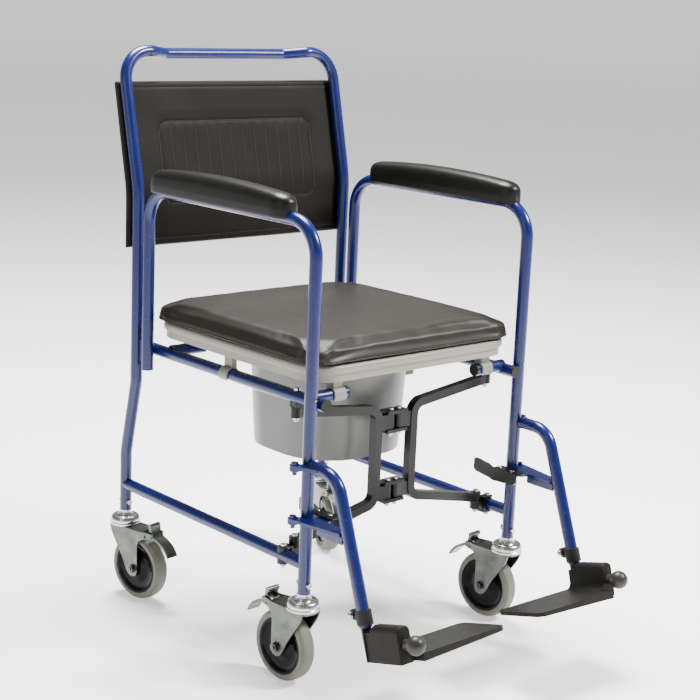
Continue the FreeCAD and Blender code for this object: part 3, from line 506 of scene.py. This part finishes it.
PANEL_LENGTH = ((BEND_Z - BACK_BEND_R * math.tan(BACK_LEAN / 2) - PANEL_LOW)
                + BACK_BEND_R * BACK_LEAN + PANEL_HIGH_U - BACK_BEND_R * math.tan(BACK_LEAN / 2))
PANEL_HALF = PANEL_BOX[1][0]
QUILT_HALF = 0.181
QUILT_LOW = 0.077
QUILT_HIGH = 0.232
QUILT_R = 0.022
CHANNELS = 13
HEM_INSET = 0.012
STITCH_STEP = 0.0009


def quilt_distance(x, s):
    """Signed distance to the stitched rounded rectangle, negative inside."""
    middle = (QUILT_LOW + QUILT_HIGH) / 2
    dx = abs(x) - (QUILT_HALF - QUILT_R)
    ds = abs(s - middle) - ((QUILT_HIGH - QUILT_LOW) / 2 - QUILT_R)
    outside = math.hypot(max(dx, 0.0), max(ds, 0.0))
    return outside + min(max(dx, ds), 0.0) - QUILT_R


def panel_relief(x, s):
    """Height of the padded front above its sheet."""
    d = quilt_distance(x, s)
    groove = math.exp(-(d / 0.0020) ** 2)
    edge = min(PANEL_HALF - abs(x), s, PANEL_LENGTH - s)
    hem = math.exp(-((edge - HEM_INSET) / 0.002) ** 2)
    soft = 1 - math.exp(-max(edge, 0.0) / 0.004)
    height = 0.0016 * soft
    if d < 0:
        pitch = 2 * QUILT_HALF / CHANNELS
        phase = (x + QUILT_HALF) / pitch
        channel = abs(math.sin(math.pi * phase))
        inset = min(1.0, -d / 0.010)
        height += 0.0010 * inset * channel ** 0.7 - 0.0002
    else:
        height += 0.0012 * min(1.0, d / 0.02)
    sag = 0.0
    if abs(x) < FREE_HALF:
        sag = 0.004 * (1 - (x / FREE_HALF) ** 2) * math.sin(math.pi * s / PANEL_LENGTH)
    ripple = 0.0005 * math.sin(31 * x + 9 * s) * math.sin(47 * s + 1.1 + 6 * x)
    return height - 0.0010 * groove - 0.0009 * hem + ripple - sag


def backrest_panel():
    """Sheet with a padded front and a plain back, closed all round."""
    columns = 260
    rows = 150
    front = []
    back = []
    for j in range(rows + 1):
        s = PANEL_LENGTH * j / rows
        for i in range(columns + 1):
            t = -1 + 2 * i / columns
            x = t * (PANEL_HALF - 0.004 * s / PANEL_LENGTH)
            relief = panel_relief(x, s)
            near = min(PANEL_HALF - abs(x), s, PANEL_LENGTH - s)
            tuck = 0.0042 * math.exp(-max(near, 0.0) / 0.0022)
            over_tube = abs(abs(x) - UPRIGHT_X) < 0.013
            clearance = 0.0002 if over_tube else -0.0012
            point, _ = panel_point(x, s, TUBE_R + 0.0018 - relief + tuck + clearance)
            front.append(point)
            point, _ = panel_point(x, s, TUBE_R + PANEL_THICK - tuck + 0.25 * relief)
            back.append(point)
    vertices = front + back
    total = len(front)
    width = columns + 1
    faces = []
    for j in range(rows):
        for i in range(columns):
            a = j * width + i
            faces.append((a, a + 1, a + width + 1, a + width))
            faces.append((total + a, total + a + width, total + a + width + 1, total + a + 1))
    for i in range(columns):
        faces.append((i, total + i, total + i + 1, i + 1))
        a = rows * width + i
        faces.append((a, a + 1, total + a + 1, total + a))
    for j in range(rows):
        a = j * width
        faces.append((a, a + width, total + a + width, total + a))
        a = j * width + columns
        faces.append((a, total + a, total + a + width, a + width))
    return mesh_object("backrest_cover", vertices, faces, BACK_VINYL)


panel = backrest_panel()
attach(panel, "backrest")
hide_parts("backrest_panel")


def panel_line(points):
    """Places on the padded front for points given as sideways and upward distance."""
    tree = surface_tree(panel)
    line = []
    for x, s in points:
        start, angle = panel_point(x, s, -0.03)
        direction = Vector((0, math.cos(angle), -math.sin(angle)))
        hit = tree.ray_cast(start, direction)
        if hit[0] is not None:
            line.append(hit[0] - direction * 0.0003)
    return line


def quilt_outline():
    middle = (QUILT_LOW + QUILT_HIGH) / 2
    half = (QUILT_HIGH - QUILT_LOW) / 2
    loop = rounded_loop(-QUILT_HALF, QUILT_HALF, middle - half, middle + half, QUILT_R, 0.0,
                        spacing=STITCH_STEP)
    points = [(point.x, point.y) for point in loop]
    points.append(points[0])
    return points


outline = stitches("backrest_outline_stitch", panel_line(quilt_outline()),
                   length=0.0032, gap=0.0016, radius=0.0005, material=THREAD)
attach(outline, "backrest")
for word, level in (("low", 0.013), ("high", PANEL_LENGTH - 0.013)):
    across = [(-0.25 + step * STITCH_STEP, level) for step in range(556)]
    hem_thread = stitches("backrest_hem_stitch_" + word, panel_line(across),
                          length=0.0034, gap=0.0018, radius=0.0004, material=THREAD)
    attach(hem_thread, "backrest")
for number in range(1, CHANNELS):
    x = -QUILT_HALF + 2 * QUILT_HALF * number / CHANNELS
    column = [(x, QUILT_LOW + 0.008 + step * STITCH_STEP)
              for step in range(int((QUILT_HIGH - QUILT_LOW - 0.016) / STITCH_STEP))]
    thread = stitches("backrest_channel_stitch_%02d" % number, panel_line(column),
                      length=0.003, gap=0.0018, radius=0.0004, material=THREAD)
    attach(thread, "backrest")


# ---------------------------------------------------------------- arm pads

PAD_RIM = 0.017
PAD_STATIONS = 90
PAD_PROFILE = 44


def pad_section(turn, width, crown):
    """Sideways place and height of a point of the section; turn runs from 0 to 1 round it."""
    if turn < 0.12:
        u = turn / 0.12
        return -width * (0.35 + 0.62 * u), 0.0
    if turn < 0.24:
        u = (turn - 0.12) / 0.12
        return -width * (0.97 + 0.03 * u), PAD_RIM * u
    if turn <= 0.76:
        u = (turn - 0.24) / 0.52
        angle = math.pi * (1 - u)
        cosine = math.cos(angle)
        px = width * 0.965 * math.copysign(abs(cosine) ** 0.82, cosine)
        return px, PAD_RIM + 0.0006 + crown * math.sin(angle) ** 0.75
    if turn < 0.88:
        u = (turn - 0.76) / 0.12
        return width * (1.0 - 0.03 * u), PAD_RIM * (1 - u)
    u = (turn - 0.88) / 0.12
    return width * (0.97 - 0.62 * u), 0.0


def arm_pad(word):
    """Moulded pad: sections along its length that taper and round off towards both ends."""
    (x0, y0, z0), (x1, y1, z1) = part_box("arm_pad_" + word)
    middle = (x0 + x1) / 2
    half = (x1 - x0) / 2
    length = y1 - y0
    vertices = []
    faces = []
    for k in range(PAD_STATIONS + 1):
        t = 0.5 - 0.5 * math.cos(math.pi * k / PAD_STATIONS)
        swell = math.sin(math.pi * (0.12 + 0.80 * t))
        near = min(1.0, length * min(t, 1 - t) / 0.032)
        ends = max(0.0, 1 - (1 - near) ** 2.3) ** 0.5
        width = half * (0.86 + 0.14 * swell) * (0.10 + 0.90 * ends)
        arch = math.sin(math.pi * (0.10 + 0.80 * t)) ** 0.7
        crown = (z1 - z0 - PAD_RIM) * (0.42 + 0.58 * arch) * ends ** 0.6
        y = y0 + length * t
        for m in range(PAD_PROFILE):
            px, pz = pad_section(m / (PAD_PROFILE - 1), width, crown)
            vertices.append(Vector((middle + px, y, z0 + pz)))
    for k in range(PAD_STATIONS):
        near_row = k * PAD_PROFILE
        far_row = near_row + PAD_PROFILE
        for m in range(PAD_PROFILE):
            n = (m + 1) % PAD_PROFILE
            faces.append((near_row + m, near_row + n, far_row + n, far_row + m))
    faces.append(tuple(range(PAD_PROFILE)))
    faces.append(tuple(PAD_STATIONS * PAD_PROFILE + m for m in range(PAD_PROFILE)))
    piece = mesh_object("arm_pad_cover_" + word, vertices, faces, PAD)
    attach(piece, "arm_" + word)
    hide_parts("arm_pad_" + word)


for side_word in ("left", "right"):
    arm_pad(side_word)


# ---------------------------------------------------------------- rivet heads on the latch levers

def rivet(name, place, radius, rise):
    """Low domed head, turned from a quarter curve."""
    rings = 7
    sides = 28
    vertices = [place + Vector((0, 0, rise))]
    faces = []
    for ring in range(1, rings + 1):
        angle = math.pi / 2 * ring / rings
        for step in range(sides):
            turn = 2 * math.pi * step / sides
            vertices.append(place + Vector((radius * math.sin(angle) * math.cos(turn),
                                            radius * math.sin(angle) * math.sin(turn),
                                            rise * math.cos(angle))))
    for step in range(sides):
        following = (step + 1) % sides
        faces.append((0, 1 + step, 1 + following))
        for ring in range(rings - 1):
            low = 1 + ring * sides
            faces.append((low + step, low + sides + step, low + sides + following, low + following))
    faces.append(tuple(1 + (rings - 1) * sides + step for step in range(sides)))
    return mesh_object(name, vertices, faces, STEEL)


LATCH_TOP = 0.3063
RIVET_R = 0.0048
RIVET_RISE = 0.0024
for side, side_word in ((-1, "left"), (1, "right")):
    for word, x, y in (("pivot", 0.2195, -0.0265), ("stop", 0.2205, 0.0045)):
        head = rivet("latch_%s_%s" % (word, side_word), Vector((side * x, FRONT_Y + y, LATCH_TOP)),
                     RIVET_R, RIVET_RISE)
        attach(head, "latch_" + side_word)


# ---------------------------------------------------------------- camera, floor and light

CAMERA_PLACE = Vector((-1.8751, -2.0693, 1.1521))
CAMERA_AZIMUTH = math.radians(-41.77)
CAMERA_TILT = math.radians(12.69)
CAMERA_ROLL = math.radians(2.44)

camera_data = bpy.data.cameras.new("camera")
camera_data.sensor_width = 36.0
camera_data.lens = 81.96
camera_data.clip_end = 50.0
camera = bpy.data.objects.new("camera", camera_data)
bpy.context.scene.collection.objects.link(camera)
back = Vector((math.sin(CAMERA_AZIMUTH) * math.cos(CAMERA_TILT),
               -math.cos(CAMERA_AZIMUTH) * math.cos(CAMERA_TILT), math.sin(CAMERA_TILT)))
right = (-back).cross(Vector((0, 0, 1))).normalized()
up = right.cross(-back)
rolled_right = right * math.cos(CAMERA_ROLL) + up * math.sin(CAMERA_ROLL)
rolled_up = up * math.cos(CAMERA_ROLL) - right * math.sin(CAMERA_ROLL)
axes = Matrix((rolled_right, rolled_up, back)).transposed().to_4x4()
camera.matrix_world = Matrix.Translation(CAMERA_PLACE) @ axes
bpy.context.scene.camera = camera


def area_light(name, place, target, size, power):
    data = bpy.data.lights.new(name, "AREA")
    data.shape = "DISK"
    data.size = size
    data.energy = power
    light = bpy.data.objects.new(name, data)
    bpy.context.scene.collection.objects.link(light)
    light.location = place
    aim = Vector(target) - Vector(place)
    light.rotation_euler = aim.to_track_quat("-Z", "Y").to_euler()


area_light("key", (2.0, -2.2, 3.3), (0, 0, 0.5), 0.9, 330)
area_light("fill", (-3.2, -0.6, 1.8), (0, 0, 0.5), 1.4, 12)
area_light("top", (0.3, 0.9, 3.6), (0, 0, 0.2), 1.8, 520)

# A flat floor whose far rim curves up, so no horizon line shows behind the chair.
FLOOR_RIM = ((0.0, 0.0), (20.0, 0.0), (30.0, 0.0), (34.0, 0.3), (36.5, 1.4), (37.8, 3.4), (38.2, 6.0))
FLOOR_SIDES = 72
floor_points = []
for radius, height in FLOOR_RIM[1:]:
    for step in range(FLOOR_SIDES):
        turn = 2 * math.pi * step / FLOOR_SIDES
        floor_points.append((radius * math.cos(turn), radius * math.sin(turn), height))
floor_faces = [tuple(range(FLOOR_SIDES))]
for ring in range(len(FLOOR_RIM) - 2):
    for step in range(FLOOR_SIDES):
        low = ring * FLOOR_SIDES
        following = (step + 1) % FLOOR_SIDES
        floor_faces.append((low + step, low + FLOOR_SIDES + step, low + FLOOR_SIDES + following,
                            low + following))
floor_mesh = bpy.data.meshes.new("floor")
floor_mesh.from_pydata(floor_points, [], floor_faces)
for polygon in floor_mesh.polygons:
    polygon.use_smooth = True
floor = bpy.data.objects.new("floor", floor_mesh)
bpy.context.scene.collection.objects.link(floor)
floor_material, _, _, floor_shader = new_material("floor_white")
floor_shader.inputs["Base Color"].default_value = (0.92, 0.92, 0.92, 1)
floor_shader.inputs["Emission Color"].default_value = (1, 1, 1, 1)
floor_shader.inputs["Emission Strength"].default_value = 0.6
floor_shader.inputs["Roughness"].default_value = 0.9
floor.data.materials.append(floor_material)

world = bpy.data.worlds.new("world")
world.use_nodes = True
world.node_tree.nodes["Background"].inputs["Color"].default_value = (1, 1, 1, 1)
world.node_tree.nodes["Background"].inputs["Strength"].default_value = 0.25
bpy.context.scene.world = world
